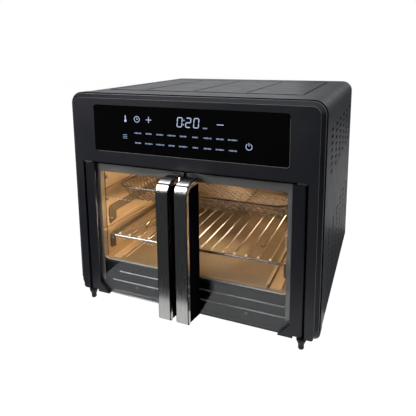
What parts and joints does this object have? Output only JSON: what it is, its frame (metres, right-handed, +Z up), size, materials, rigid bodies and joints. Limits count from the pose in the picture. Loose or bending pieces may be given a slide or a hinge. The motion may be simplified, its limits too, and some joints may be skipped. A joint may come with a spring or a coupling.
{
  "type": "toaster oven",
  "caption": "Countertop air-fryer toaster oven with two glass French doors, bar handles, a touch panel, a sliding wire rack, fry basket and crumb tray.",
  "frame": {"origin": "on the ground, at the middle of the closed oven's footprint with handles and cord gland", "axes": "+Z up, the doors face -Y, +X to the right of someone facing the doors"},
  "size_m": [0.4, 0.424, 0.348],
  "materials": {
    "casing_paint": "satin dark grey stove paint",
    "bezel_plastic": "satin charcoal",
    "panel_glass": "gloss black control glass",
    "display_white": "white light guide",
    "electronics_black": "matte",
    "board_green": "solder mask",
    "board_brown": "phenolic board",
    "plated_steel": "zinc plated",
    "front_steel": "satin grey",
    "cavity_coating": "satin non-stick coating",
    "element_steel": "heat-tinted steel",
    "ceramic": "white ceramic",
    "fan_aluminium": "mill finish",
    "motor_steel": "laminated core and copper winding",
    "lamp_glass": "frosted",
    "rubber_black": "matte",
    "door_glass": "tempered, lightly tinted",
    "stile_black": "satin black",
    "handle_black": "satin black",
    "handle_steel": "dark brushed steel",
    "wire_chrome": "polished",
    "basket_steel": "stainless mesh"
  },
  "bodies": {
    "oven_body": {"outer_casing": "casing_paint", "rear_cover": "casing_paint", "rear_screws": "plated_steel", "base_pan": "plated_steel", "front_bezel": "bezel_plastic", "control_glass": "panel_glass", "display_housing": "display_white", "display_module": "electronics_black", "control_board": "board_green", "touch_springs": "plated_steel", "front_frame": "front_steel", "cavity_liner": "cavity_coating", "liner_screws": "plated_steel", "front_apron": "front_steel", "apron_screws": "plated_steel", "upper_elements": "element_steel", "lower_elements": "element_steel", "element_insulators": "ceramic", "fan_cover": "cavity_coating", "fan_housing": "plated_steel", "fan_motor": "motor_steel", "motor_bracket": "plated_steel", "cavity_lamp": "lamp_glass", "lamp_lens": "lamp_glass", "temperature_probe": "plated_steel", "thermal_cutout": "electronics_black", "power_board": "board_brown", "power_board_bracket": "plated_steel", "terminal_block": "ceramic", "cord_gland": "rubber_black", "front_feet": "rubber_black", "rear_feet": "rubber_black", "lower_hinge_brackets": "plated_steel", "upper_hinge_brackets": "plated_steel", "door_magnets": "plated_steel"},
    "left_door": {"left_door_glass": "door_glass", "left_door_stile": "stile_black", "left_handle": "handle_black", "left_handle_trim": "handle_steel", "left_strike_plate": "plated_steel"},
    "right_door": {"right_door_glass": "door_glass", "right_door_stile": "stile_black", "right_handle": "handle_black", "right_handle_trim": "handle_steel", "right_strike_plate": "plated_steel"},
    "fan_rotor": {"fan_wheel": "fan_aluminium", "motor_shaft": "plated_steel", "cooling_wheel": "electronics_black"},
    "rack": {"wire_rack": "wire_chrome"},
    "basket": {"fry_basket": "basket_steel"},
    "tray": {"crumb_tray": "cavity_coating"}
  },
  "joints": [
    {"name": "left_door_hinge", "type": "hinge", "parent": "oven_body", "child": "left_door", "pos_m": [-0.1725, -0.1645, 0.126], "axis": [0, 0, -1], "range_deg": [0, 100]},
    {"name": "right_door_hinge", "type": "hinge", "parent": "oven_body", "child": "right_door", "pos_m": [0.1725, -0.1645, 0.126], "axis": [0, 0, 1], "range_deg": [0, 100]},
    {"name": "fan_spin", "type": "hinge", "parent": "oven_body", "child": "fan_rotor", "pos_m": [0, -0.009, 0.286], "axis": [0, 0, 1], "continuous": true},
    {"name": "rack_slide", "type": "slide", "parent": "oven_body", "child": "rack", "axis": [0, -1, 0], "range_m": [0, 0.007]},
    {"name": "basket_slide", "type": "slide", "parent": "oven_body", "child": "basket", "axis": [0, -1, 0], "range_m": [0, 0.035]},
    {"name": "tray_slide", "type": "slide", "parent": "oven_body", "child": "tray", "axis": [0, -1, 0], "range_m": [0, 0.006]}
  ]
}
